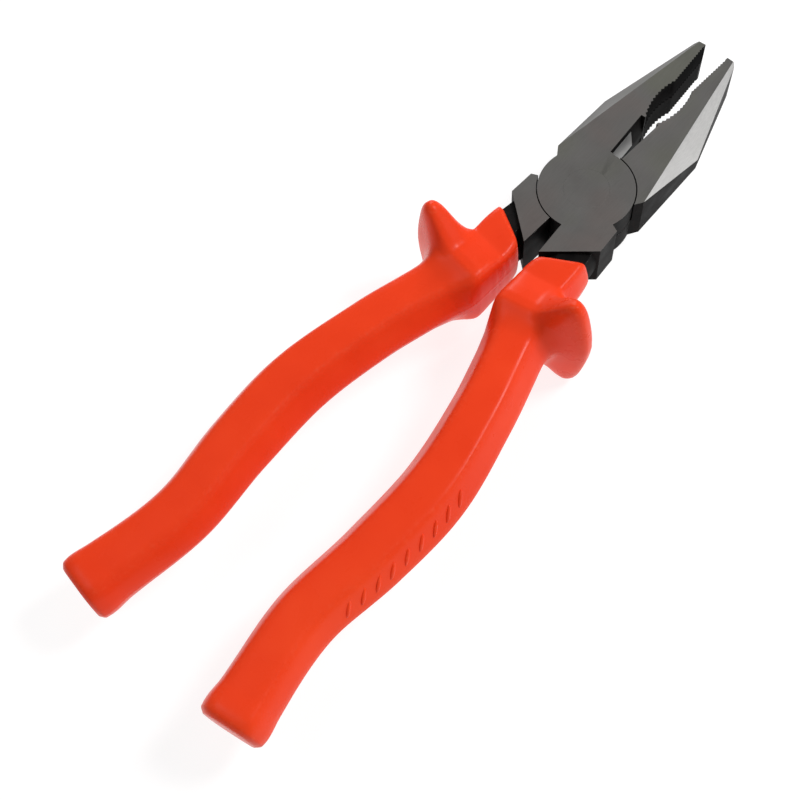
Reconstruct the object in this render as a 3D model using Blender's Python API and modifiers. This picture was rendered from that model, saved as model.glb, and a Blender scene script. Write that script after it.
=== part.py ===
"""Insulated lineman pliers: two forged halves on a riveted lap joint, each with a moulded grip.

Frame: the joint's axis is Z at the origin, the jaws point along +X, and Z = 0 is the flat
underside of the joint.  Both halves are one design, drawn with the jaws shut, the jaw on +Y and
the handle on -Y.  The upper half is that design turned open about the joint.  The lower half is
the same design turned over about X first.
"""

import math

import bmesh
import bpy
import numpy
from mathutils import Matrix, Vector

# ---------------------------------------------------------------- driving dimensions (millimetres)
MM = 0.001
CLEARANCE = 0.3
OVERCUT = 2.0
WELD_DISTANCE = 0.0001
TURN_WELD_DISTANCE = 0.00001
SMOOTH_ANGLE_DEG = 30.0

HEAD_THICKNESS = 13.4
HALF_OPENING_DEG = 3.35

DISC_RADIUS = 12.1
DISC_SIDES = 72
RIVET_SHANK_RADIUS = 4.2
RIVET_HEAD_RADIUS = 5.4
RIVET_HEAD_DEPTH = 1.6
RIVET_SIDES = 40

JAW_TIP_X = 54.3
JAW_TIP_FACE_Y = 2.1
JAW_TIP_WALL_Y = 3.1
JAW_TIP_CORNER = 0.7
JAW_WALL_Y = 12.95
JAW_KINK_X = 27.8
JAW_REAR_X = 6.4
JAW_REAR_ANGLE_DEG = 71.5
JAW_FACE_GAP = 0.2
BEVEL_DEPTH = 4.9

CUTTER_END_X = 26.2
CUTTER_WIDE_RELIEF = 1.15
CUTTER_NARROW_RELIEF = 0.55

PIPE_GRIP_START_X = 26.8
PIPE_GRIP_END_X = 40.0
PIPE_GRIP_DEPTH = 1.25
PIPE_TEETH = 11
PIPE_TOOTH_DEPTH = 0.45

NOSE_END_X = 53.4
NOSE_TEETH = 14
NOSE_TOOTH_DEPTH = 0.3

SHOULDER_FRONT_X = -5.9
SHOULDER_FRONT_ANGLE_DEG = 114.0
SHOULDER_REAR_X = -12.9
SHOULDER_INNER_X = -21.6
SLOT_HALF_WIDTH = 1.0

TANG_SIDES = 12
TANG_SPACING = 5.0
TANG_FLAT = 0.8
TANG_SHARPNESS = 8.0
GRIP_SIDES = 36

# Handle centreline of a shut half: (x, distance from the middle plane).
HANDLE_PATH = (
    (-9.0, 7.4),
    (-22.0, 8.7),
    (-40.0, 9.5),
    (-62.0, 13.9),
    (-84.0, 16.6),
    (-104.0, 15.0),
    (-125.0, 11.9),
    (-146.0, 13.8),
    (-160.0, 15.4),
)

# Tang inside the grip: (x, half width outwards, half width inwards, half height).
TANG_SECTIONS = (
    (-9.0, 5.0, 6.0, 5.3),
    (-18.0, 4.2, 6.9, 5.8),
    (-24.0, 4.1, 6.9, 5.6),
    (-34.0, 4.1, 4.6, 4.8),
    (-60.0, 4.0, 4.0, 4.4),
    (-100.0, 3.8, 3.8, 4.0),
    (-142.0, 3.4, 3.4, 3.4),
)

# Grip: (x, slant in degrees, half width outwards, half width inwards, half height, flat top's share of
# the half width outwards and inwards, edge sharpness, lobe).
# A boxy collar comes first, then the guard, whose tall lobe on the outer side keeps the hand off
# the head, then the six-sided handle.  The lobe is how many times taller the outer side is.
GRIP_SECTIONS = (
    (-19.4, 22.0, 4.6, 7.8, 6.6, 0.70, 0.80, 9.0, 1.0),
    (-20.2, 20.0, 5.3, 8.6, 7.7, 0.70, 0.84, 11.0, 1.0),
    (-23.5, 11.0, 5.2, 8.7, 7.9, 0.66, 0.88, 12.0, 1.0),
    (-27.6, 0.0, 4.9, 8.7, 7.9, 0.60, 0.90, 12.0, 1.0),
    (-29.0, 0.0, 6.4, 8.8, 8.3, 0.62, 0.90, 11.0, 1.10),
    (-30.4, 0.0, 9.2, 8.8, 8.8, 0.66, 0.90, 10.0, 1.42),
    (-31.6, 0.0, 12.0, 8.9, 9.2, 0.70, 0.90, 9.0, 1.72),
    (-32.6, 0.0, 14.0, 8.9, 9.5, 0.73, 0.90, 9.0, 1.85),
    (-34.0, 0.0, 15.3, 9.0, 9.8, 0.75, 0.90, 9.0, 1.90),
    (-35.6, 0.0, 15.4, 9.1, 10.1, 0.75, 0.90, 9.0, 1.88),
    (-37.0, 0.0, 14.6, 9.2, 10.1, 0.73, 0.90, 9.0, 1.80),
    (-38.2, 0.0, 11.6, 9.2, 9.8, 0.68, 0.88, 9.0, 1.50),
    (-39.4, 0.0, 9.2, 9.2, 9.3, 0.62, 0.82, 9.0, 1.16),
    (-41.4, 0.0, 8.0, 8.9, 8.7, 0.56, 0.70, 9.0, 1.0),
    (-44.0, 0.0, 7.7, 8.4, 8.3, 0.53, 0.60, 10.0, 1.0),
    (-50.0, 0.0, 7.8, 8.0, 8.2, 0.53, 0.54, 11.0, 1.0),
    (-58.0, 0.0, 7.8, 8.0, 8.3, 0.54, 0.54, 12.0, 1.0),
    (-66.0, 0.0, 7.9, 8.1, 8.3, 0.54, 0.54, 14.0, 1.0),
    (-74.0, 0.0, 8.1, 8.3, 8.3, 0.54, 0.54, 14.0, 1.0),
    (-82.0, 0.0, 8.3, 8.5, 8.3, 0.54, 0.54, 14.0, 1.0),
    (-90.0, 0.0, 8.4, 8.6, 8.2, 0.54, 0.54, 14.0, 1.0),
    (-98.0, 0.0, 8.3, 8.5, 8.1, 0.54, 0.54, 13.0, 1.0),
    (-106.0, 0.0, 8.1, 8.3, 7.9, 0.54, 0.54, 12.0, 1.0),
    (-114.0, 0.0, 7.9, 8.1, 7.7, 0.54, 0.54, 11.0, 1.0),
    (-122.0, 0.0, 7.6, 7.9, 7.5, 0.55, 0.55, 10.0, 1.0),
    (-130.0, 0.0, 7.5, 7.7, 7.4, 0.57, 0.57, 9.0, 1.0),
    (-138.0, 0.0, 7.4, 7.6, 7.4, 0.60, 0.60, 8.0, 1.0),
    (-144.5, 0.0, 7.5, 7.7, 7.5, 0.63, 0.63, 8.0, 1.0),
    (-149.4, 0.0, 7.9, 8.2, 7.7, 0.64, 0.64, 8.0, 1.0),
    (-151.6, 0.0, 7.6, 8.0, 7.3, 0.64, 0.64, 7.0, 1.0),
    (-152.6, 0.0, 6.4, 6.9, 6.2, 0.64, 0.64, 6.0, 1.0),
)
LOBE_START = 0.0
LOBE_FULL = 12.0

STEEL = ((0.125, 0.120, 0.115), 1.0, 0.38)
RIVET_STEEL = ((0.160, 0.155, 0.150), 1.0, 0.35)
GRIP_RED = ((0.870, 0.060, 0.015), 0.0, 0.30)

MID_Z = HEAD_THICKNESS / 2
LAYER_GAP = CLEARANCE / 2


# ---------------------------------------------------------------- scene and materials
def clear_scene():
    for item in list(bpy.data.objects):
        bpy.data.objects.remove(item, do_unlink=True)


def new_collection(name):
    made = bpy.data.collections.new(name)
    bpy.context.scene.collection.children.link(made)
    return made


def new_material(name, colour, metallic, roughness):
    made = bpy.data.materials.new(name)
    made.use_nodes = True
    shader = made.node_tree.nodes["Principled BSDF"]
    shader.inputs["Base Color"].default_value = (*colour, 1.0)
    shader.inputs["Metallic"].default_value = metallic
    shader.inputs["Roughness"].default_value = roughness
    return made


def new_object(name, data):
    made = bpy.data.objects.new(name, data)
    bpy.context.scene.collection.objects.link(made)
    return made


# ---------------------------------------------------------------- solids
def plate(name, points, low, high):
    """A closed outline extruded from low to high, drawn at one unit to the millimetre."""
    curve = bpy.data.curves.new(name, "CURVE")
    curve.dimensions = "2D"
    curve.fill_mode = "NONE"
    curve.extrude = (high - low) / 2
    spline = curve.splines.new("POLY")
    spline.points.add(len(points) - 1)
    for point, (x, y) in zip(spline.points, points):
        point.co = (x, y, 0.0, 1.0)
    spline.use_cyclic_u = True
    flat = new_object(name, curve)
    flat.scale = (MM, MM, MM)
    flat.location.z = (high + low) / 2 * MM
    return mesh_from_curve(flat)


def mesh_from_curve(flat):
    """Turns an extruded curve into one closed mesh, with a single flat face on each end.

    The ends are filled here, because a row of teeth leaves the curve's own filling with
    triangles of no area.
    """
    bpy.context.view_layer.update()
    evaluated = flat.evaluated_get(bpy.context.evaluated_depsgraph_get())
    mesh = bpy.data.meshes.new_from_object(evaluated)
    form = bmesh.new()
    form.from_mesh(mesh)
    bmesh.ops.remove_doubles(form, verts=form.verts, dist=WELD_DISTANCE)
    rims = [edge for edge in form.edges if edge.is_boundary]
    bmesh.ops.edgeloop_fill(form, edges=rims)
    bmesh.ops.recalc_face_normals(form, faces=form.faces)
    form.to_mesh(mesh)
    form.free()
    mesh.transform(flat.matrix_world)
    name = flat.name
    bpy.data.objects.remove(flat, do_unlink=True)
    return new_object(name, mesh)


def cylinder(name, radius, low, high):
    form = bmesh.new()
    bmesh.ops.create_cone(
        form,
        cap_ends=True,
        segments=DISC_SIDES,
        radius1=radius * MM,
        radius2=radius * MM,
        depth=(high - low) * MM,
        matrix=Matrix.Translation((0.0, 0.0, (high + low) / 2 * MM)),
    )
    mesh = bpy.data.meshes.new(name)
    form.to_mesh(mesh)
    form.free()
    return new_object(name, mesh)


def turned(name, profile):
    """A solid of revolution about Z, from a profile of (radius, z) that runs top to bottom."""
    mesh = bpy.data.meshes.new(name)
    edges = [(i, i + 1) for i in range(len(profile) - 1)]
    mesh.from_pydata([(r * MM, 0.0, z * MM) for r, z in profile], edges, [])
    made = new_object(name, mesh)
    screw = made.modifiers.new("turn", "SCREW")
    screw.axis = "Z"
    screw.steps = RIVET_SIDES
    screw.render_steps = RIVET_SIDES
    screw.use_merge_vertices = True
    screw.merge_threshold = TURN_WELD_DISTANCE
    return made


def loft(name, rings):
    """Skins rings of equal count with quads, and closes both ends."""
    sides = len(rings[0])
    form = bmesh.new()
    rows = [[form.verts.new(Vector(point) * MM) for point in ring] for ring in rings]
    for near, far in zip(rows, rows[1:]):
        for i in range(sides):
            j = (i + 1) % sides
            form.faces.new((near[i], near[j], far[j], far[i]))
    form.faces.new(rows[0])
    form.faces.new(rows[-1])
    bmesh.ops.recalc_face_normals(form, faces=form.faces)
    mesh = bpy.data.meshes.new(name)
    form.to_mesh(mesh)
    form.free()
    return new_object(name, mesh)


def combine(target, tool, operation):
    """Joins the tool to the target, or cuts the target with it, and removes the tool."""
    step = target.modifiers.new("combine", "BOOLEAN")
    step.operation = operation
    step.solver = "EXACT"
    step.object = tool
    bpy.context.view_layer.update()
    evaluated = target.evaluated_get(bpy.context.evaluated_depsgraph_get())
    result = bpy.data.meshes.new_from_object(evaluated)
    target.modifiers.clear()
    target.data = result
    bpy.data.objects.remove(tool, do_unlink=True)


# ---------------------------------------------------------------- curves of the design
def handle_line(x):
    """The handle centreline at x: its distance from the middle plane, and its slope."""
    along = numpy.array([-point[0] for point in HANDLE_PATH])
    away = numpy.array([point[1] for point in HANDLE_PATH])
    slopes = numpy.gradient(away, along)
    place = min(max(-x, along[0]), along[-1])
    i = min(int(numpy.searchsorted(along, place, side="right")) - 1, len(along) - 2)
    span = along[i + 1] - along[i]
    t = (place - along[i]) / span
    distance = (
        (1 + 2 * t) * (1 - t) ** 2 * away[i]
        + t * (1 - t) ** 2 * span * slopes[i]
        + t * t * (3 - 2 * t) * away[i + 1]
        + t * t * (t - 1) * span * slopes[i + 1]
    )
    slope = (1 - t) * slopes[i] + t * slopes[i + 1]
    return float(distance), float(slope)


def section_outline(outward, inward, height, flat_out, flat_in, sharpness, sides):
    """A six-sided outline with soft edges: (reach, upward) points round the centre.

    The corners stand at the two half widths, on the middle line, and at the ends of the flat top
    and bottom.  The sharper the edges, the closer the outline comes to those corners.
    """
    slants = ((outward, 1.0 - flat_out, 1.0), (inward, 1.0 - flat_in, -1.0))
    facets = [(0.0, 1.0, height), (0.0, -1.0, height)]
    for width, cut, side in slants:
        length = math.hypot(height, cut * width)
        across, upward = side * height / length, cut * width / length
        away = height * width / length
        facets += [(across, upward, away), (across, -upward, away)]
    outline = []
    for i in range(sides):
        angle = 2 * math.pi * i / sides
        right, up = math.cos(angle), math.sin(angle)
        total = sum(max((a * right + b * up) / away, 0.0) ** sharpness for a, b, away in facets)
        radius = total ** (-1.0 / sharpness)
        outline.append((radius * right, radius * up))
    stretch_out = outward / max(point[0] for point in outline)
    stretch_in = -inward / min(point[0] for point in outline)
    stretch_up = height / max(point[1] for point in outline)
    return [(a * (stretch_out if a > 0 else stretch_in), b * stretch_up) for a, b in outline]


def lobe_rise(reach, lobe):
    """How many times taller a section is at this reach: 1 at the handle, lobe on the outer side."""
    part = min(max((reach - LOBE_START) / (LOBE_FULL - LOBE_START), 0.0), 1.0)
    return 1.0 + (lobe - 1.0) * part * part * (3.0 - 2.0 * part)


def handle_ring(x, slant_deg, outline, lobe):
    """Sets an outline square to the handle's centreline, plus the slant."""
    distance, slope = handle_line(x)
    turn = math.atan(slope) + math.radians(slant_deg)
    ring = []
    for reach, upward in outline:
        along = x + reach * math.sin(turn)
        away = distance + reach * math.cos(turn)
        ring.append((along, -away, MID_Z + upward * lobe_rise(reach, lobe)))
    return ring


def disc_arc(start_deg, end_deg):
    """Points on the joint's disc, both ends included."""
    count = math.ceil((end_deg - start_deg) * DISC_SIDES / 360.0) + 1
    angles = numpy.radians(numpy.linspace(start_deg, end_deg, count))
    return [(DISC_RADIUS * math.cos(a), DISC_RADIUS * math.sin(a)) for a in angles]


def pipe_grip_surface(x):
    """The hollow that holds round stock: a circular arc on its chord."""
    half_chord = (PIPE_GRIP_END_X - PIPE_GRIP_START_X) / 2
    radius = (half_chord**2 + PIPE_GRIP_DEPTH**2) / (2 * PIPE_GRIP_DEPTH)
    offset = x - (PIPE_GRIP_START_X + PIPE_GRIP_END_X) / 2
    return JAW_FACE_GAP + PIPE_GRIP_DEPTH - radius + math.sqrt(radius**2 - offset**2)


def nose_surface(_x):
    return JAW_FACE_GAP


def teeth(start_x, end_x, count, depth, surface):
    """A row of V-shaped grooves, depth deep behind the line that surface(x) gives."""
    pitch = (end_x - start_x) / count
    points = []
    for i in range(count):
        crest = start_x + i * pitch
        root = crest + pitch / 2
        points.append((crest, surface(crest)))
        points.append((root, surface(root) + depth))
    return points


# ---------------------------------------------------------------- the forged half
def jaw_inner_line():
    """The working edge, from the joint to the tip: cutter, pipe grip and flat nose."""
    points = teeth(
        PIPE_GRIP_START_X, PIPE_GRIP_END_X, PIPE_TEETH, PIPE_TOOTH_DEPTH, pipe_grip_surface
    )
    points += teeth(PIPE_GRIP_END_X, NOSE_END_X, NOSE_TEETH, NOSE_TOOTH_DEPTH, nose_surface)
    return points + [(NOSE_END_X, JAW_FACE_GAP), (JAW_TIP_X, JAW_FACE_GAP)]


def half_outline():
    """The forging from above: jaw on +Y, the joint's disc, and the shoulder on -Y."""
    slot_angle = 180.0 + math.degrees(math.asin(SLOT_HALF_WIDTH / DISC_RADIUS))
    face_angle = 360.0 + math.degrees(math.asin(JAW_FACE_GAP / DISC_RADIUS))
    return (
        jaw_inner_line()
        + [
            (JAW_TIP_X, JAW_TIP_WALL_Y - JAW_TIP_CORNER),
            (JAW_TIP_X - JAW_TIP_CORNER, JAW_TIP_WALL_Y),
            (JAW_KINK_X, JAW_WALL_Y),
            (JAW_REAR_X, JAW_WALL_Y),
        ]
        + disc_arc(JAW_REAR_ANGLE_DEG, slot_angle)
        + [
            (SHOULDER_INNER_X, -SLOT_HALF_WIDTH),
            (SHOULDER_REAR_X, -JAW_WALL_Y),
            (SHOULDER_FRONT_X, -JAW_WALL_Y),
        ]
        + disc_arc(360.0 - SHOULDER_FRONT_ANGLE_DEG, face_angle)
    )


def tang_rings(grow):
    """Sections of the bar that runs back inside the grip, grown by a clearance."""
    places, *columns = zip(*TANG_SECTIONS)
    along = [-place for place in places]
    start_x = places[0]
    end_x = places[-1] - grow
    count = math.ceil((start_x - end_x) / TANG_SPACING) + 1
    rings = []
    for x in numpy.linspace(start_x, end_x, count):
        outward, inward, height = [numpy.interp(-x, along, column) + grow for column in columns]
        outline = section_outline(
            outward, inward, height, TANG_FLAT, TANG_FLAT, TANG_SHARPNESS, TANG_SIDES
        )
        rings.append(handle_ring(x, 0.0, outline, 1.0))
    return rings


def bevel_wedge(upper):
    """The space outside the ground bevel, between the jaw's edge line and its wall's kink."""
    rear = Vector((JAW_REAR_X, JAW_WALL_Y, HEAD_THICKNESS))
    tip = Vector((JAW_TIP_X, JAW_TIP_FACE_Y, HEAD_THICKNESS))
    kink = Vector((JAW_KINK_X, JAW_WALL_Y, HEAD_THICKNESS - BEVEL_DEPTH))
    along = (tip - rear).normalized()
    fall = (kink - rear - along * (kink - rear).dot(along)).normalized()
    rings = []
    for end in (rear - along * OVERCUT, tip + along * OVERCUT):
        start = end - fall * OVERCUT
        foot = end + fall * JAW_WALL_Y
        rings.append([tuple(start), tuple(foot), (foot.x, foot.y, start.z)])
    if not upper:
        rings = [[(x, y, HEAD_THICKNESS - z) for x, y, z in ring] for ring in rings]
    return loft("bevel", rings)


def cutter_relief(relief, upper):
    """A wedge that slopes one side of the cutting edge away from the middle plane."""
    slope = relief / MID_Z
    high = HEAD_THICKNESS + OVERCUT
    rings = []
    for x in (DISC_RADIUS + CLEARANCE, CUTTER_END_X):
        rings.append(
            [
                (x, -OVERCUT, MID_Z),
                (x, JAW_FACE_GAP, MID_Z),
                (x, JAW_FACE_GAP + slope * (high - MID_Z), high),
                (x, -OVERCUT, high),
            ]
        )
    if not upper:
        rings = [[(x, y, HEAD_THICKNESS - z) for x, y, z in ring] for ring in rings]
    return loft("relief", rings)


def rivet_profile(grow, cap):
    """Shank with a cone-shaped head sunk into each face, from top to bottom."""
    shank = RIVET_SHANK_RADIUS + grow
    head = RIVET_HEAD_RADIUS + grow
    top = HEAD_THICKNESS + cap
    return [
        (0.0, top),
        (head, top),
        (head, HEAD_THICKNESS),
        (shank, HEAD_THICKNESS - RIVET_HEAD_DEPTH),
        (shank, RIVET_HEAD_DEPTH),
        (head, 0.0),
        (head, -cap),
        (0.0, -cap),
    ]


def forged_half(name):
    half = plate(name, half_outline(), 0.0, HEAD_THICKNESS)
    combine(half, loft("tang", tang_rings(0.0)), "UNION")
    lap = cylinder("lap", DISC_RADIUS + CLEARANCE, -OVERCUT, MID_Z + LAYER_GAP)
    combine(half, lap, "DIFFERENCE")
    combine(half, bevel_wedge(True), "DIFFERENCE")
    combine(half, bevel_wedge(False), "DIFFERENCE")
    combine(half, cutter_relief(CUTTER_WIDE_RELIEF, True), "DIFFERENCE")
    combine(half, cutter_relief(CUTTER_NARROW_RELIEF, False), "DIFFERENCE")
    combine(half, turned("bore", rivet_profile(CLEARANCE, OVERCUT)), "DIFFERENCE")
    return half


def pivot_rivet(name):
    profile = rivet_profile(0.0, 0.0)
    return turned(name, [profile[0]] + profile[2:6] + [profile[-1]])


def grip(name):
    rings = []
    for x, slant, *section, lobe in GRIP_SECTIONS:
        rings.append(handle_ring(x, slant, section_outline(*section, GRIP_SIDES), lobe))
    sleeve = loft(name, rings)
    combine(sleeve, loft("socket", tang_rings(CLEARANCE)), "DIFFERENCE")
    return sleeve


# ---------------------------------------------------------------- assembly
def place(item, holder, home, finish):
    """Gives a finished piece its parent, collection, material and smooth shading."""
    bpy.context.scene.collection.objects.unlink(item)
    home.objects.link(item)
    item.parent = holder
    item.data.materials.clear()
    item.data.materials.append(finish)
    item.data.shade_smooth()
    item.data.set_sharp_from_angle(angle=math.radians(SMOOTH_ANGLE_DEG))


def half_holder(name, placement, home):
    """An empty on the joint's axis that carries one half."""
    holder = bpy.data.objects.new(name, None)
    home.objects.link(holder)
    holder.matrix_world = placement
    return holder


def main():
    clear_scene()
    home = new_collection("lineman_pliers")
    steel = new_material("blackened_steel", *STEEL)
    rivet_steel = new_material("rivet_steel", *RIVET_STEEL)
    red = new_material("grip_red", *GRIP_RED)

    opening = math.radians(HALF_OPENING_DEG)
    turned_over = Matrix.Translation((0, 0, HEAD_THICKNESS * MM)) @ Matrix.Rotation(math.pi, 4, "X")
    upper = half_holder("upper_pivot", Matrix.Rotation(opening, 4, "Z"), home)
    lower = half_holder("lower_pivot", Matrix.Rotation(-opening, 4, "Z") @ turned_over, home)

    place(forged_half("upper_half"), upper, home, steel)
    place(pivot_rivet("pivot_rivet"), upper, home, rivet_steel)
    place(grip("right_grip"), upper, home, red)
    place(forged_half("lower_half"), lower, home, steel)
    place(grip("left_grip"), lower, home, red)


main()
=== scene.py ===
"""Looks of the insulated lineman pliers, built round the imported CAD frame.

Both halves are one design, drawn with the jaws shut: the jaw on +Y, the handle on -Y and the
joint's axis on Z.  The upper half is that design turned open about Z; the lower half is turned
over about X first.  Lengths are millimetres until they become vertices.
"""

import math

import bmesh
import bpy
import numpy
from mathutils import Matrix, Vector


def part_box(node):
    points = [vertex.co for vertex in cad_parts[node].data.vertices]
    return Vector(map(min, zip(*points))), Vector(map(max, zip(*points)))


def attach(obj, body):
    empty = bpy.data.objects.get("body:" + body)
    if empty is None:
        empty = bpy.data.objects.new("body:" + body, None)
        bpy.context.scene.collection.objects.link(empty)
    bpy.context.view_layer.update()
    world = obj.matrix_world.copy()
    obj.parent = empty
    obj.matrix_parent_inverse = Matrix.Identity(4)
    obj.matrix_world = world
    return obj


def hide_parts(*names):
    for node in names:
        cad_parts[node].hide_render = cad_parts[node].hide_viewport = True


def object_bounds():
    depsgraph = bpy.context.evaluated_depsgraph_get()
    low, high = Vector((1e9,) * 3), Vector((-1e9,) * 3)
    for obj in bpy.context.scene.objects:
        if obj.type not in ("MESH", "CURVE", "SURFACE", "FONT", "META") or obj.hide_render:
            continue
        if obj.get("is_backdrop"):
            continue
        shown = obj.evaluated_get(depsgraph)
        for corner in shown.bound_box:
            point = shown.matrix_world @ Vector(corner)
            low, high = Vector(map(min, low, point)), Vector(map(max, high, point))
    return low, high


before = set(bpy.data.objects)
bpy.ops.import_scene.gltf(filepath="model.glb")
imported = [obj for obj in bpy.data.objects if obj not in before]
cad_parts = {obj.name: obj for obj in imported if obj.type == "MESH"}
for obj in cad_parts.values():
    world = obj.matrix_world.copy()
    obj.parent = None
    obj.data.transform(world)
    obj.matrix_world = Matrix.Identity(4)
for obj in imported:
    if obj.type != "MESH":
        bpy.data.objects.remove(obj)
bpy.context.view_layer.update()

# ---------------------------------------------------------------- dimensions (millimetres)
MM = 0.001
HALF_OPENING_DEG = 3.35
HEAD_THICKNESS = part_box("pivot_rivet")[1].z / MM
MID_Z = HEAD_THICKNESS / 2

WELD_DISTANCE = 0.000001
FLAT_ANGLE_DEG = 0.6
SHARP_ANGLE_DEG = 24.0
EDGE_ROUND = 0.16
EDGE_ROUND_STEPS = 2
EDGE_ROUND_PROFILE = 0.5
FACE_TOLERANCE = 0.05
LEVEL_NORMAL_Z = 0.99
FACE_AREA_WEIGHT = 100

TEETH_START_X = 26.5
TEETH_REACH_Y = 3.2
TOOTH_EDGE_LENGTH = 15.0
BORE_REACH = 6.5
BEVEL_START_X = 5.0
BEVEL_NORMAL_Y = 0.1
BEVEL_NORMAL_Z = (0.12, 0.97)
CUTTER_START_X = 12.0
CUTTER_END_X = 26.3
CUTTER_NORMAL_Y = -0.5
CUTTER_SLOPE_NORMAL_Y = -0.9
CUTTER_SLOPE_NORMAL_Z = 0.5
CUTTER_GROUND_END_X = 21.5
CUTTER_GROUND_TOP_Z = MID_Z + 5.2

RIVET_HEAD_RADIUS = 5.69
RIVET_SHANK_RADIUS = 4.2
RIVET_HEAD_DEPTH = 1.6
RIVET_EDGE = 0.02
RIVET_SIDES = 96

HANDLE_PATH = (
    (-9.0, 7.4),
    (-22.0, 8.7),
    (-40.0, 9.5),
    (-62.0, 13.9),
    (-84.0, 16.6),
    (-104.0, 15.0),
    (-125.0, 11.9),
    (-146.0, 13.8),
    (-160.0, 15.4),
)

# Grip: (x, slant in degrees, half width outwards, half width inwards, half height, flat top's share of
# the half width outwards and inwards, edge sharpness, lobe).
# A boxy collar comes first, then the guard, whose tall lobe on the outer side keeps the hand off
# the head, then the six-sided handle.  The lobe is how many times taller the outer side is.
GRIP_SECTIONS = (
    (-19.4, 22.0, 4.6, 7.8, 6.6, 0.70, 0.80, 9.0, 1.0),
    (-20.2, 20.0, 5.3, 8.6, 7.7, 0.70, 0.84, 11.0, 1.0),
    (-23.5, 11.0, 5.2, 8.7, 7.9, 0.66, 0.88, 12.0, 1.0),
    (-27.6, 0.0, 4.9, 8.7, 7.9, 0.60, 0.90, 12.0, 1.0),
    (-29.0, 0.0, 6.4, 8.8, 8.3, 0.62, 0.90, 11.0, 1.10),
    (-30.4, 0.0, 9.2, 8.8, 8.8, 0.66, 0.90, 10.0, 1.42),
    (-31.6, 0.0, 12.0, 8.9, 9.2, 0.70, 0.90, 9.0, 1.72),
    (-32.6, 0.0, 14.0, 8.9, 9.5, 0.73, 0.90, 9.0, 1.85),
    (-34.0, 0.0, 15.3, 9.0, 9.8, 0.75, 0.90, 9.0, 1.90),
    (-35.6, 0.0, 15.4, 9.1, 10.1, 0.75, 0.90, 9.0, 1.88),
    (-37.0, 0.0, 14.6, 9.2, 10.1, 0.73, 0.90, 9.0, 1.80),
    (-38.2, 0.0, 11.6, 9.2, 9.8, 0.68, 0.88, 9.0, 1.50),
    (-39.4, 0.0, 9.2, 9.2, 9.3, 0.62, 0.82, 9.0, 1.16),
    (-41.4, 0.0, 8.0, 8.9, 8.7, 0.56, 0.70, 9.0, 1.0),
    (-44.0, 0.0, 7.7, 8.4, 8.3, 0.53, 0.60, 10.0, 1.0),
    (-50.0, 0.0, 7.8, 8.0, 8.2, 0.53, 0.54, 11.0, 1.0),
    (-58.0, 0.0, 7.8, 8.0, 8.3, 0.54, 0.54, 12.0, 1.0),
    (-66.0, 0.0, 7.9, 8.1, 8.3, 0.54, 0.54, 14.0, 1.0),
    (-74.0, 0.0, 8.1, 8.3, 8.3, 0.54, 0.54, 14.0, 1.0),
    (-82.0, 0.0, 8.3, 8.5, 8.3, 0.54, 0.54, 14.0, 1.0),
    (-90.0, 0.0, 8.4, 8.6, 8.2, 0.54, 0.54, 14.0, 1.0),
    (-98.0, 0.0, 8.3, 8.5, 8.1, 0.54, 0.54, 13.0, 1.0),
    (-106.0, 0.0, 8.1, 8.3, 7.9, 0.54, 0.54, 12.0, 1.0),
    (-114.0, 0.0, 7.9, 8.1, 7.7, 0.54, 0.54, 11.0, 1.0),
    (-122.0, 0.0, 7.6, 7.9, 7.5, 0.55, 0.55, 10.0, 1.0),
    (-130.0, 0.0, 7.5, 7.7, 7.4, 0.57, 0.57, 9.0, 1.0),
    (-138.0, 0.0, 7.4, 7.6, 7.4, 0.60, 0.60, 8.0, 1.0),
    (-144.5, 0.0, 7.5, 7.7, 7.5, 0.63, 0.63, 8.0, 1.0),
    (-149.4, 0.0, 7.9, 8.2, 7.7, 0.64, 0.64, 8.0, 1.0),
    (-151.6, 0.0, 7.6, 8.0, 7.3, 0.64, 0.64, 7.0, 1.0),
    (-152.6, 0.0, 6.4, 6.9, 6.2, 0.64, 0.64, 6.0, 1.0),
)
LOBE_START = 0.0
LOBE_FULL = 12.0
GRIP_SIDES = 120
GRIP_STEP = 0.7
GRIP_MIN_STEPS = 3
GRIP_SHARP_DEG = 60.0
# Gain of the edge mask for the sleeves' scuffs and painted highlight.
WEAR_AND_HIGHLIGHT_GAIN = 2.2
SEAM_HEIGHT = 0.07

# Socket in the grip: (x, half width outwards, half width inwards, half height), a little larger
# than the bar's own section at each of these places.
SOCKET_SECTIONS = (
    (-19.4, 4.5, 7.22, 6.1),
    (-24.0, 4.4, 7.22, 5.95),
    (-34.0, 4.4, 4.9, 5.1),
    (-60.0, 4.3, 4.3, 4.7),
    (-100.0, 4.1, 4.1, 4.3),
    (-142.3, 3.7, 3.7, 3.7),
)
SOCKET_FLAT = 0.8
SOCKET_SHARPNESS = 8.0

RIB_COUNT = 9
RIB_START_X = -83.0
RIB_END_X = -117.0
RIB_SIZE = (2.2, 0.55, 0.42)
RIB_SLANT_DEG = 52.0
RIB_REACH = 0.77
RIB_RISE = 0.5
RIB_TILT = 0.46
RIB_LIFT = 0.35
RIB_SUBDIVISIONS = 3

# Finishes of the forgings, in the order of their material slots.
# The last finish, on the rounded edges, is painted brighter: partly scuffing, partly a painted
# highlight.
POLISHED, BLACKENED, GROUND, DARK_BEVEL, WORN_AND_HIGHLIGHT = range(5)

# ---------------------------------------------------------------- camera, light and floor
CAMERA_TARGET = Vector((-68.30, 2.13, 0.0)) * MM
CAMERA_DISTANCE = 310.35 * MM
CAMERA_TURN_DEG = -131.45
CAMERA_ELEVATION_DEG = 64.91
CAMERA_ROLL_DEG = -7.97
CAMERA_LENS = 57.98
CAMERA_SENSOR = 36.0
CAMERA_NEAR = 0.01

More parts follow.
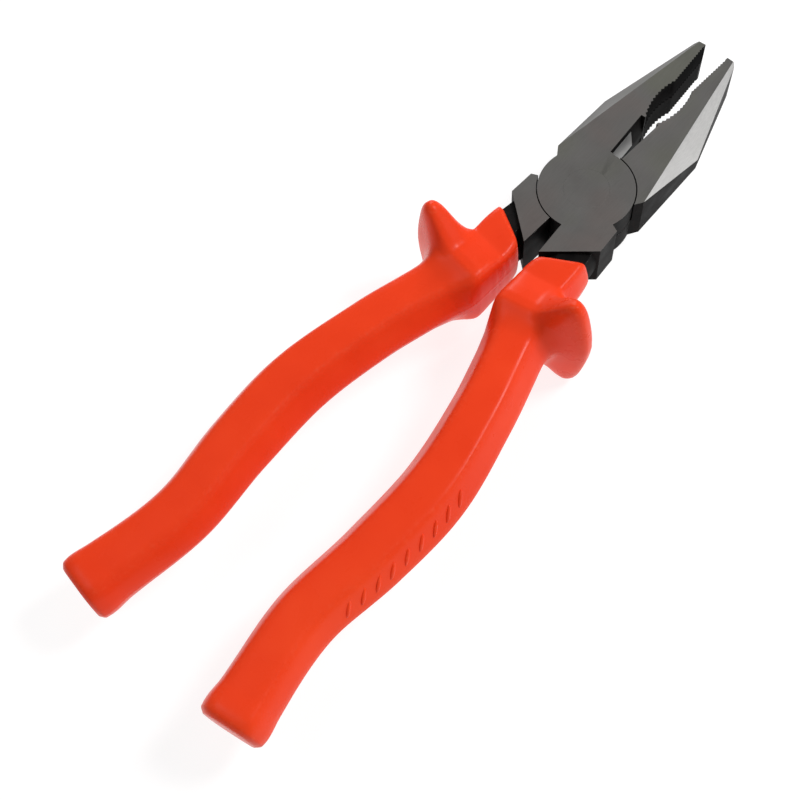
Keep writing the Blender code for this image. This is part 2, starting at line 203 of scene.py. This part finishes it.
# From here on, lengths are metres and powers are watts: (name, position, size, power).
AREA_LIGHTS = (
    ("key", (0.45, -0.35, 0.80), 0.24, 5.7),
    ("fill", (-0.35, 0.30, 0.80), 0.30, 0.9),
    ("rim", (0.42, -0.72, 0.24), 0.5, 1.0),
    ("back", (0.55, 0.55, 0.35), 0.30, 2.4),
)

# Grey of the surroundings: (upward part of the direction, tone).
SKY_TONES = ((0.25, 0.30), (0.85, 0.27))

FLOOR_HALF = 6.0
FLOOR_GAP = 0.0002
FLOOR_GLOW = 0.83


# ---------------------------------------------------------------- curves of the design
def smooth_through(places, values, at):
    """A curve through the values that never overshoots them, sampled at a rising list of places."""
    places = numpy.asarray(places, float)
    values = numpy.asarray(values, float)
    spans = numpy.diff(places)
    rises = numpy.diff(values) / spans
    slopes = numpy.zeros(len(places))
    for i in range(1, len(places) - 1):
        if rises[i - 1] * rises[i] > 0.0:
            slopes[i] = 2.0 * rises[i - 1] * rises[i] / (rises[i - 1] + rises[i])
    slopes[0] = rises[0]
    slopes[-1] = rises[-1]
    index = numpy.clip(numpy.searchsorted(places, at, side="right") - 1, 0, len(spans) - 1)
    span = spans[index]
    t = (numpy.asarray(at) - places[index]) / span
    return (
        (1 + 2 * t) * (1 - t) ** 2 * values[index]
        + t * (1 - t) ** 2 * span * slopes[index]
        + t * t * (3 - 2 * t) * values[index + 1]
        + t * t * (t - 1) * span * slopes[index + 1]
    )


def handle_line(x):
    """The handle centreline at x: its distance from the middle plane, and its slope."""
    along = numpy.array([-point[0] for point in HANDLE_PATH])
    away = numpy.array([point[1] for point in HANDLE_PATH])
    slopes = numpy.gradient(away, along)
    place = min(max(-x, along[0]), along[-1])
    i = min(int(numpy.searchsorted(along, place, side="right")) - 1, len(along) - 2)
    span = along[i + 1] - along[i]
    t = (place - along[i]) / span
    distance = (
        (1 + 2 * t) * (1 - t) ** 2 * away[i]
        + t * (1 - t) ** 2 * span * slopes[i]
        + t * t * (3 - 2 * t) * away[i + 1]
        + t * t * (t - 1) * span * slopes[i + 1]
    )
    slope = (1 - t) * slopes[i] + t * slopes[i + 1]
    return float(distance), float(slope)


def section_outline(outward, inward, height, flat_out, flat_in, sharpness, sides):
    """A six-sided outline with soft edges: (reach, upward) points round the centre.

    The corners stand at the two half widths, on the middle line, and at the ends of the flat top
    and bottom.  The sharper the edges, the closer the outline comes to those corners.
    """
    slants = ((outward, 1.0 - flat_out, 1.0), (inward, 1.0 - flat_in, -1.0))
    facets = [(0.0, 1.0, height), (0.0, -1.0, height)]
    for width, cut, side in slants:
        length = math.hypot(height, cut * width)
        across, upward = side * height / length, cut * width / length
        away = height * width / length
        facets += [(across, upward, away), (across, -upward, away)]
    outline = []
    for i in range(sides):
        angle = 2 * math.pi * i / sides
        right, up = math.cos(angle), math.sin(angle)
        total = sum(max((a * right + b * up) / away, 0.0) ** sharpness for a, b, away in facets)
        radius = total ** (-1.0 / sharpness)
        outline.append((radius * right, radius * up))
    stretch_out = outward / max(point[0] for point in outline)
    stretch_in = -inward / min(point[0] for point in outline)
    stretch_up = height / max(point[1] for point in outline)
    return [(a * (stretch_out if a > 0 else stretch_in), b * stretch_up) for a, b in outline]


def lobe_rise(reach, lobe):
    """How many times taller a section is at this reach: 1 at the handle, lobe on the outer side."""
    part = min(max((reach - LOBE_START) / (LOBE_FULL - LOBE_START), 0.0), 1.0)
    return 1.0 + (lobe - 1.0) * part * part * (3.0 - 2.0 * part)


def handle_ring(x, slant_deg, outline, lobe):
    """Sets an outline square to the handle's centreline, plus the slant."""
    distance, slope = handle_line(x)
    turn = math.atan(slope) + math.radians(slant_deg)
    ring = []
    for reach, upward in outline:
        along = x + reach * math.sin(turn)
        away = distance + reach * math.cos(turn)
        ring.append((along, -away, MID_Z + upward * lobe_rise(reach, lobe)))
    return ring


# ---------------------------------------------------------------- placing
def half_placement(side):
    """From the shut design, in metres, to the resting half."""
    opening = math.radians(HALF_OPENING_DEG)
    if side == "upper":
        return Matrix.Rotation(opening, 4, "Z")
    turned_over = Matrix.Translation((0, 0, HEAD_THICKNESS * MM)) @ Matrix.Rotation(math.pi, 4, "X")
    return Matrix.Rotation(-opening, 4, "Z") @ turned_over


def new_piece(name, form, materials, body, node):
    """Makes a shown piece from a finished bmesh and sets it on its body in place of its node."""
    mesh = bpy.data.meshes.new(name)
    form.to_mesh(mesh)
    form.free()
    for material in materials:
        mesh.materials.append(material)
    mesh.shade_smooth()
    made = bpy.data.objects.new(name, mesh)
    bpy.context.scene.collection.objects.link(made)
    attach(made, body)
    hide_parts(node)
    return made


def keep_flats_flat(made):
    """Lets the large faces set the shading, so that rounded edges don't tint them."""
    step = made.modifiers.new("flat_faces", "WEIGHTED_NORMAL")
    step.weight = FACE_AREA_WEIGHT
    step.keep_sharp = True


# ---------------------------------------------------------------- forged halves
def is_toothed(edge):
    """Whether an edge belongs to the teeth, which stay unrounded."""
    middle = (edge.verts[0].co + edge.verts[1].co) / 2 / MM
    short = edge.calc_length() < TOOTH_EDGE_LENGTH * MM
    return middle.x > TEETH_START_X and abs(middle.y) < TEETH_REACH_Y and short


def is_bore(edge):
    """Whether an edge lies round the rivet, where the faces run flush."""
    middle = (edge.verts[0].co + edge.verts[1].co) / 2 / MM
    return math.hypot(middle.x, middle.y) < BORE_REACH


def finish_of(face):
    """The index of the finish that a face of the forging has, from where it is and how it faces."""
    middle = face.calc_center_median() / MM
    facing = face.normal
    on_flat = min(abs(middle.z), abs(middle.z - HEAD_THICKNESS)) < FACE_TOLERANCE
    if abs(facing.z) > LEVEL_NORMAL_Z and on_flat:
        return POLISHED
    low, high = BEVEL_NORMAL_Z
    if facing.y > BEVEL_NORMAL_Y and middle.x > BEVEL_START_X and low < abs(facing.z) < high:
        # Bevels on the design's lower face are bright ground steel, those on its upper face dark grey.
        return GROUND if facing.z < 0.0 else DARK_BEVEL
    in_cutter = CUTTER_START_X < middle.x < CUTTER_END_X and facing.y < CUTTER_NORMAL_Y
    if in_cutter and middle.x < CUTTER_GROUND_END_X and MID_Z < middle.z < CUTTER_GROUND_TOP_Z:
        return GROUND
    return BLACKENED


def split_cutter(form):
    """Cuts the cutter's slope where the bright ground land ends."""
    planes = (
        (Vector((CUTTER_GROUND_END_X * MM, 0, 0)), Vector((1, 0, 0))),
        (Vector((0, 0, CUTTER_GROUND_TOP_Z * MM)), Vector((0, 0, 1))),
    )
    for point, normal in planes:
        faces = []
        for face in form.faces:
            middle = face.calc_center_median() / MM
            in_cutter = CUTTER_START_X < middle.x < CUTTER_END_X and middle.z > MID_Z
            slopes_up = 0.0 < face.normal.z < CUTTER_SLOPE_NORMAL_Z
            if in_cutter and slopes_up and face.normal.y < CUTTER_SLOPE_NORMAL_Y:
                faces.append(face)
        edges = {edge for face in faces for edge in face.edges}
        verts = {vert for face in faces for vert in face.verts}
        geometry = faces + list(edges) + list(verts)
        bmesh.ops.bisect_plane(form, geom=geometry, plane_co=point, plane_no=normal)


def forged_half(side, materials):
    """The forging: the CAD shape with rounded edges and a finish of its own on each face."""
    node = f"{side}_half"
    placement = half_placement(side)
    form = bmesh.new()
    form.from_mesh(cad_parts[node].data)
    bmesh.ops.remove_doubles(form, verts=form.verts, dist=WELD_DISTANCE)
    bmesh.ops.transform(form, matrix=placement.inverted(), verts=form.verts)
    limit = math.radians(FLAT_ANGLE_DEG)
    bmesh.ops.dissolve_limit(form, angle_limit=limit, verts=form.verts, edges=form.edges)
    split_cutter(form)
    form.normal_update()
    for face in form.faces:
        face.material_index = finish_of(face)
    sharp = [
        edge
        for edge in form.edges
        if edge.is_manifold
        and edge.calc_face_angle() > math.radians(SHARP_ANGLE_DEG)
        and not is_toothed(edge)
        and not is_bore(edge)
    ]
    # Rounded edges take the last finish, painted brighter than the faces: partly scuffing, partly a
    # painted highlight.
    bmesh.ops.bevel(
        form,
        geom=sharp,
        offset=EDGE_ROUND * MM,
        offset_type="OFFSET",
        segments=EDGE_ROUND_STEPS,
        profile=EDGE_ROUND_PROFILE,
        affect="EDGES",
        clamp_overlap=True,
        material=WORN_AND_HIGHLIGHT,
    )
    bmesh.ops.transform(form, matrix=placement, verts=form.verts)
    made = new_piece(f"{side}_forging", form, materials, side, node)
    keep_flats_flat(made)
    return made


def rivet(materials):
    """The rivet, spread into its countersinks until only a hairline shows round each head."""
    head = RIVET_HEAD_RADIUS
    shank = RIVET_SHANK_RADIUS
    depth = RIVET_HEAD_DEPTH
    top = HEAD_THICKNESS
    profile = (
        (head - RIVET_EDGE, top),
        (head, top - RIVET_EDGE),
        (shank, top - depth),
        (shank, depth),
        (head, RIVET_EDGE),
        (head - RIVET_EDGE, 0.0),
    )
    form = bmesh.new()
    rows = []
    for radius, z in profile:
        row = []
        for i in range(RIVET_SIDES):
            angle = 2 * math.pi * i / RIVET_SIDES
            at = Vector((radius * math.cos(angle), radius * math.sin(angle), z))
            row.append(form.verts.new(at * MM))
        rows.append(row)
    skin(form, rows)
    made = new_piece("rivet", form, materials, "upper", "pivot_rivet")
    keep_flats_flat(made)
    return made


def skin(form, rows):
    """Closes rows of equal count with quads and an end face each."""
    sides = len(rows[0])
    for near, far in zip(rows, rows[1:]):
        for i in range(sides):
            j = (i + 1) % sides
            form.faces.new((near[i], near[j], far[j], far[i]))
    form.faces.new(rows[0])
    form.faces.new(rows[-1])
    bmesh.ops.recalc_face_normals(form, faces=form.faces)


# ---------------------------------------------------------------- grips
def section_stations():
    """Places along the grip: evenly spaced, with more where two sections stand close."""
    stations = []
    for near, far in zip(GRIP_SECTIONS, GRIP_SECTIONS[1:]):
        length = near[0] - far[0]
        count = max(GRIP_MIN_STEPS, math.ceil(length / GRIP_STEP))
        stations += [near[0] - length * i / count for i in range(count)]
    return stations + [GRIP_SECTIONS[-1][0]]


def outer_rings():
    """Rings of the outside, with the mould's parting seam along both sides."""
    stations = section_stations()
    places = [-section[0] for section in GRIP_SECTIONS]
    at = [-x for x in stations]
    columns = []
    for column in range(1, len(GRIP_SECTIONS[0])):
        values = [section[column] for section in GRIP_SECTIONS]
        columns.append(smooth_through(places, values, at))
    rings = []
    for x, slant, *section, lobe in zip(stations, *columns):
        outline = section_outline(*section, GRIP_SIDES)
        for i in (0, GRIP_SIDES // 2):
            reach, upward = outline[i]
            outline[i] = (reach + math.copysign(SEAM_HEIGHT, reach), upward)
        rings.append(handle_ring(x, slant, outline, lobe))
    return rings


def socket_rings():
    """The socket, from its closed end out to the collar's mouth."""
    rings = []
    for x, outward, inward, height in SOCKET_SECTIONS:
        outline = section_outline(
            outward, inward, height, SOCKET_FLAT, SOCKET_FLAT, SOCKET_SHARPNESS, GRIP_SIDES
        )
        slant = GRIP_SECTIONS[0][1] if x == GRIP_SECTIONS[0][0] else 0.0
        rings.append(handle_ring(x, slant, outline, 1.0))
    return rings[::-1]


def add_ribs(form):
    """A row of short raised ribs on the outer facet of the design's upper side."""
    places = [-section[0] for section in GRIP_SECTIONS]
    widths = [section[2] for section in GRIP_SECTIONS]
    heights = [section[4] for section in GRIP_SECTIONS]
    for i in range(RIB_COUNT):
        x = RIB_START_X + (RIB_END_X - RIB_START_X) * i / (RIB_COUNT - 1)
        width = float(smooth_through(places, widths, [-x])[0])
        height = float(smooth_through(places, heights, [-x])[0])
        distance, slope = handle_line(x)
        turn = math.atan(slope)
        outwards = Vector((math.sin(turn), -math.cos(turn), 0.0))
        at = Vector((x, -distance, MID_Z)) + outwards * RIB_REACH * width
        at.z += RIB_RISE * height
        facing = (outwards * height + Vector((0.0, 0.0, RIB_TILT * width))).normalized()
        at += facing * RIB_LIFT
        along = Vector((math.cos(turn), math.sin(turn), 0.0))
        across = facing.cross(along)
        basis = Matrix((along, across, facing)).transposed().to_4x4()
        slanted = Matrix.Rotation(math.radians(RIB_SLANT_DEG), 4, "Z")
        size = Matrix.Diagonal((*RIB_SIZE, 1.0))
        matrix = Matrix.Scale(MM, 4) @ Matrix.Translation(at) @ basis @ slanted @ size
        bmesh.ops.create_icosphere(form, subdivisions=RIB_SUBDIVISIONS, radius=1.0, matrix=matrix)


def paint_wear_and_highlight(mesh):
    """Stores on each point how much of an outside edge it is: 0 on a flat, up to 1 on a corner, where
    the sleeves paint scuffs and a painted highlight.
    """
    form = bmesh.new()
    form.from_mesh(mesh)
    values = []
    for vert in form.verts:
        bend = 0.0
        for edge in vert.link_edges:
            away = (edge.other_vert(vert).co - vert.co).normalized()
            bend -= away.dot(vert.normal)
        values.append(min(max(bend * WEAR_AND_HIGHLIGHT_GAIN, 0.0), 1.0))
    form.free()
    attribute = mesh.attributes.new("wear_and_highlight", "FLOAT", "POINT")
    attribute.data.foreach_set("value", values)


def grip(side, name, materials):
    """The hollow sleeve on one handle, with its socket, guard, seam and ribs."""
    node = {"upper": "right_grip", "lower": "left_grip"}[side]
    form = bmesh.new()
    rings = socket_rings() + outer_rings()
    rows = [[form.verts.new(Vector(point) * MM) for point in ring] for ring in rings]
    skin(form, rows)
    add_ribs(form)
    bmesh.ops.transform(form, matrix=half_placement(side), verts=form.verts)
    made = new_piece(name, form, materials, side, node)
    made.data.set_sharp_from_angle(angle=math.radians(GRIP_SHARP_DEG))
    paint_wear_and_highlight(made.data)
    return made


# ---------------------------------------------------------------- shader helpers
class Shading:
    """A material being built, with one short call for each kind of node."""

    def __init__(self, name):
        self.material = bpy.data.materials.new(name)
        self.material.use_nodes = True
        self.tree = self.material.node_tree
        self.shader = self.tree.nodes["Principled BSDF"]
        self.place = self.add("ShaderNodeTexCoord").outputs["Object"]

    def add(self, kind):
        return self.tree.nodes.new(kind)

    def link(self, output, socket):
        self.tree.links.new(output, socket)

    def stretched(self, stretch):
        mapping = self.add("ShaderNodeMapping")
        mapping.inputs["Scale"].default_value = stretch
        self.link(self.place, mapping.inputs["Vector"])
        return mapping.outputs["Vector"]

    def noise(self, scale, detail=3.0, stretch=(1.0, 1.0, 1.0), distortion=0.0):
        texture = self.add("ShaderNodeTexNoise")
        self.link(self.stretched(stretch), texture.inputs["Vector"])
        texture.inputs["Scale"].default_value = scale
        texture.inputs["Detail"].default_value = detail
        texture.inputs["Distortion"].default_value = distortion
        return texture.outputs["Fac"]

    def ramp(self, factor, stops):
        """Maps 0..1 to colours, or to greys where a stop gives one number."""
        node = self.add("ShaderNodeValToRGB")
        elements = node.color_ramp.elements
        while len(elements) < len(stops):
            elements.new(0.5)
        for element, (position, colour) in zip(elements, stops):
            element.position = position
            rgb = colour if isinstance(colour, tuple) else (colour,) * 3
            element.color = (*rgb, 1.0)
        self.link(factor, node.inputs["Fac"])
        return node.outputs["Color"]

    def mix(self, factor, first, second):
        """Blends two colour outputs, or fixed colours, by a factor output."""
        node = self.add("ShaderNodeMix")
        node.data_type = "RGBA"
        self.link(factor, node.inputs["Factor"])
        for socket, value in ((node.inputs["A"], first), (node.inputs["B"], second)):
            if isinstance(value, tuple):
                socket.default_value = (*value, 1.0)
            else:
                self.link(value, socket)
        return node.outputs["Result"]

    def math(self, operation, first, second):
        node = self.add("ShaderNodeMath")
        node.operation = operation
        for socket, value in zip(node.inputs, (first, second)):
            if isinstance(value, float):
                socket.default_value = value
            else:
                self.link(value, socket)
        return node.outputs["Value"]

    def wear_and_highlight(self):
        node = self.add("ShaderNodeAttribute")
        node.attribute_name = "wear_and_highlight"
        return node.outputs["Fac"]

    def bump(self, height, distance, strength=1.0, below=None):
        node = self.add("ShaderNodeBump")
        node.inputs["Strength"].default_value = strength
        node.inputs["Distance"].default_value = distance
        self.link(height, node.inputs["Height"])
        if below is not None:
            self.link(below, node.inputs["Normal"])
        return node.outputs["Normal"]

    def finish(self, colour, roughness, normal, metallic, specular=0.5):
        self.link(colour, self.shader.inputs["Base Color"])
        self.link(roughness, self.shader.inputs["Roughness"])
        self.link(normal, self.shader.inputs["Normal"])
        self.shader.inputs["Metallic"].default_value = metallic
        self.shader.inputs["Specular IOR Level"].default_value = specular
        return self.material


# ---------------------------------------------------------------- materials
def polished_steel():
    """Ground and blacked faces: dark, with cloudy tints and fine lines along the jaws."""
    make = Shading("polished_steel")
    clouds = make.noise(46.0, 2.0)
    tints = make.ramp(
        clouds,
        ((0.32, (0.150, 0.131, 0.124)), (0.5, (0.143, 0.139, 0.134)), (0.68, (0.138, 0.138, 0.120))),
    )
    lines = make.noise(260.0, 4.0, (1.0, 14.0, 14.0))
    line_tone = make.ramp(lines, ((0.3, 0.92), (0.7, 1.0)))
    shade = make.add("ShaderNodeMix")
    shade.data_type = "RGBA"
    shade.blend_type = "MULTIPLY"
    shade.inputs["Factor"].default_value = 1.0
    make.link(tints, shade.inputs["A"])
    make.link(line_tone, shade.inputs["B"])
    smudges = make.noise(120.0, 4.0)
    roughness = make.ramp(smudges, ((0.3, 0.45), (0.7, 0.56)))
    normal = make.bump(lines, 0.00001, 0.35)
    return make.finish(shade.outputs["Result"], roughness, normal, 1.0)


def blackened_steel():
    """Sides and recesses as forged: near black, slightly pitted, a little oily."""
    make = Shading("blackened_steel")
    patches = make.noise(190.0, 5.0)
    colour = make.ramp(
        patches,
        (
            (0.3, (0.003, 0.003, 0.003)),
            (0.55, (0.007, 0.0065, 0.0065)),
            (0.8, (0.018, 0.017, 0.016)),
        ),
    )
    roughness = make.ramp(patches, ((0.25, 0.38), (0.75, 0.58)))
    pits = make.noise(1500.0, 3.0)
    normal = make.bump(pits, 0.00004, 0.5)
    return make.finish(colour, roughness, normal, 0.0, 0.03)


def ground_steel():
    """Bevels and cutting edges, ground bright after blacking, with fine lines."""
    make = Shading("ground_steel")
    lines = make.noise(420.0, 4.0, (1.0, 12.0, 12.0))
    broad = make.noise(90.0, 2.0)
    bright = make.ramp(lines, ((0.3, (0.47, 0.465, 0.46)), (0.7, (0.57, 0.565, 0.555))))
    colour = make.mix(make.ramp(broad, ((0.4, 0.0), (0.75, 0.5))), bright, (0.42, 0.415, 0.405))
    roughness = make.ramp(lines, ((0.3, 0.30), (0.7, 0.44)))
    normal = make.bump(lines, 0.000015, 0.5)
    return make.finish(colour, roughness, normal, 0.65)


def dark_bevel_steel():
    """The bevels on the design's upper face: satin dark grey with a trace of the grinding lines."""
    make = Shading("dark_bevel_steel")
    lines = make.noise(300.0, 4.0, (1.0, 9.0, 9.0))
    patches = make.noise(60.0, 3.0)
    plain = make.ramp(patches, ((0.35, (0.085, 0.082, 0.078)), (0.65, (0.105, 0.102, 0.096))))
    colour = make.mix(make.ramp(lines, ((0.45, 0.0), (0.8, 0.5))), plain, (0.14, 0.136, 0.128))
    roughness = make.ramp(patches, ((0.3, 0.36), (0.7, 0.48)))
    normal = make.bump(lines, 0.00001, 0.4)
    return make.finish(colour, roughness, normal, 1.0)


def worn_and_highlit_steel():
    """Rounded edges, where handling has thinned the blacking; the brighter grey is partly that scuffing
    and partly a painted highlight.
    """
    make = Shading("worn_and_highlit_steel")
    rubs_and_highlight = make.noise(330.0, 5.0, (0.5, 1.0, 1.0))
    colour = make.ramp(
        rubs_and_highlight, ((0.38, (0.070, 0.067, 0.063)), (0.55, (0.16, 0.155, 0.15)), (0.72, (0.34, 0.33, 0.32)))
    )
    roughness = make.ramp(rubs_and_highlight, ((0.3, 0.48), (0.7, 0.32)))
    normal = make.bump(rubs_and_highlight, 0.00001, 0.4)
    return make.finish(colour, roughness, normal, 1.0)


def moulded_red():
    """Glossy moulded vinyl: slightly cloudy red, a soft skin, and lighter specks along the edges, partly
    scuffs and partly a painted highlight.
    """
    make = Shading("moulded_red")
    clouds = make.noise(38.0, 3.0)
    body = make.ramp(
        clouds, ((0.3, (0.82, 0.046, 0.011)), (0.55, (0.88, 0.055, 0.013)), (0.75, (0.92, 0.066, 0.016)))
    )
    specks = make.noise(900.0, 3.0)
    # Lighter, rougher specks on the outside edges: partly scuffs, partly a painted highlight.
    rubbed_and_highlight = make.math("MULTIPLY", make.wear_and_highlight(), make.ramp(specks, ((0.5, 0.0), (0.8, 0.6))))
    colour = make.mix(rubbed_and_highlight, body, (0.88, 0.11, 0.045))
    smudges = make.noise(150.0, 4.0)
    roughness = make.mix(rubbed_and_highlight, make.ramp(smudges, ((0.3, 0.24), (0.7, 0.34))), (0.48, 0.48, 0.48))
    ripple = make.noise(420.0, 2.0)
    skin_normal = make.bump(ripple, 0.00008, 0.25)
    normal = make.bump(specks, 0.00002, 0.3, skin_normal)
    return make.finish(colour, roughness, normal, 0.0, 0.10)


def floor_white():
    """Plain white paper that glows faintly, so that it stays even all round the pliers."""
    make = Shading("floor_white")
    grain = make.noise(30.0, 2.0)
    colour = make.ramp(grain, ((0.3, 0.25), (0.7, 0.28)))
    roughness = make.ramp(grain, ((0.3, 0.8), (0.7, 0.9)))
    normal = make.bump(grain, 0.0001, 0.1)
    material = make.finish(colour, roughness, normal, 0.0, 0.0)
    make.shader.inputs["Emission Color"].default_value = (1.0, 1.0, 1.0, 1.0)
    make.shader.inputs["Emission Strength"].default_value = FLOOR_GLOW
    return material


# ---------------------------------------------------------------- stage
def camera():
    """Stands where the photographer stood, rolled slightly."""
    turn = math.radians(CAMERA_TURN_DEG)
    rise = math.radians(CAMERA_ELEVATION_DEG)
    roll = math.radians(CAMERA_ROLL_DEG)
    back = Vector((math.cos(rise) * math.cos(turn), math.cos(rise) * math.sin(turn), math.sin(rise)))
    level = (-back).cross(Vector((0, 0, 1))).normalized()
    upright = level.cross(-back)
    right = level * math.cos(roll) + upright * math.sin(roll)
    up = upright * math.cos(roll) - level * math.sin(roll)
    lens = bpy.data.cameras.new("camera")
    lens.sensor_width = CAMERA_SENSOR
    lens.lens = CAMERA_LENS
    lens.clip_start = CAMERA_NEAR
    made = bpy.data.objects.new("camera", lens)
    bpy.context.scene.collection.objects.link(made)
    basis = Matrix((right, up, back)).transposed().to_4x4()
    made.matrix_world = Matrix.Translation(CAMERA_TARGET + back * CAMERA_DISTANCE) @ basis
    bpy.context.scene.camera = made


def floor():
    """A level sheet just under the lowest piece."""
    low_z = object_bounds()[0].z - FLOOR_GAP
    half = FLOOR_HALF
    form = bmesh.new()
    corners = ((-half, -half), (half, -half), (half, half), (-half, half))
    form.faces.new([form.verts.new((x, y, low_z)) for x, y in corners])
    mesh = bpy.data.meshes.new("floor")
    form.to_mesh(mesh)
    form.free()
    mesh.materials.append(floor_white())
    made = bpy.data.objects.new("floor", mesh)
    bpy.context.scene.collection.objects.link(made)
    made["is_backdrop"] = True


def area_light(name, position, size, power):
    """A square soft box that faces the middle of the pliers."""
    light = bpy.data.lights.new(name, "AREA")
    light.size = size
    light.energy = power
    made = bpy.data.objects.new(name, light)
    bpy.context.scene.collection.objects.link(made)
    at = Vector(position)
    facing = (CAMERA_TARGET - at).to_track_quat("-Z", "Y")
    made.matrix_world = Matrix.Translation(at) @ facing.to_matrix().to_4x4()


def surroundings():
    """A plain grey that darkens a little overhead, so that level faces stay deep in tone."""
    world = bpy.data.worlds.new("studio")
    bpy.context.scene.world = world
    world.use_nodes = True
    tree = world.node_tree
    background = tree.nodes["Background"]
    place = tree.nodes.new("ShaderNodeTexCoord")
    split = tree.nodes.new("ShaderNodeSeparateXYZ")
    ramp = tree.nodes.new("ShaderNodeValToRGB")
    for element, (upward, tone) in zip(ramp.color_ramp.elements, SKY_TONES):
        element.position = upward
        element.color = (tone, tone, tone, 1.0)
    tree.links.new(place.outputs["Generated"], split.inputs["Vector"])
    tree.links.new(split.outputs["Z"], ramp.inputs["Fac"])
    tree.links.new(ramp.outputs["Color"], background.inputs["Color"])
    background.inputs["Strength"].default_value = 1.0


# ---------------------------------------------------------------- assembly
def main():
    bpy.context.scene.view_settings.view_transform = "Standard"
    steel = [polished_steel(), blackened_steel(), ground_steel(), dark_bevel_steel(), worn_and_highlit_steel()]
    red = [moulded_red()]
    camera()
    for name, position, size, power in AREA_LIGHTS:
        area_light(name, position, size, power)
    surroundings()
    forged_half("upper", steel)
    forged_half("lower", steel)
    rivet(steel[:1])
    grip("upper", "right_sleeve", red)
    grip("lower", "left_sleeve", red)
    floor()


main()
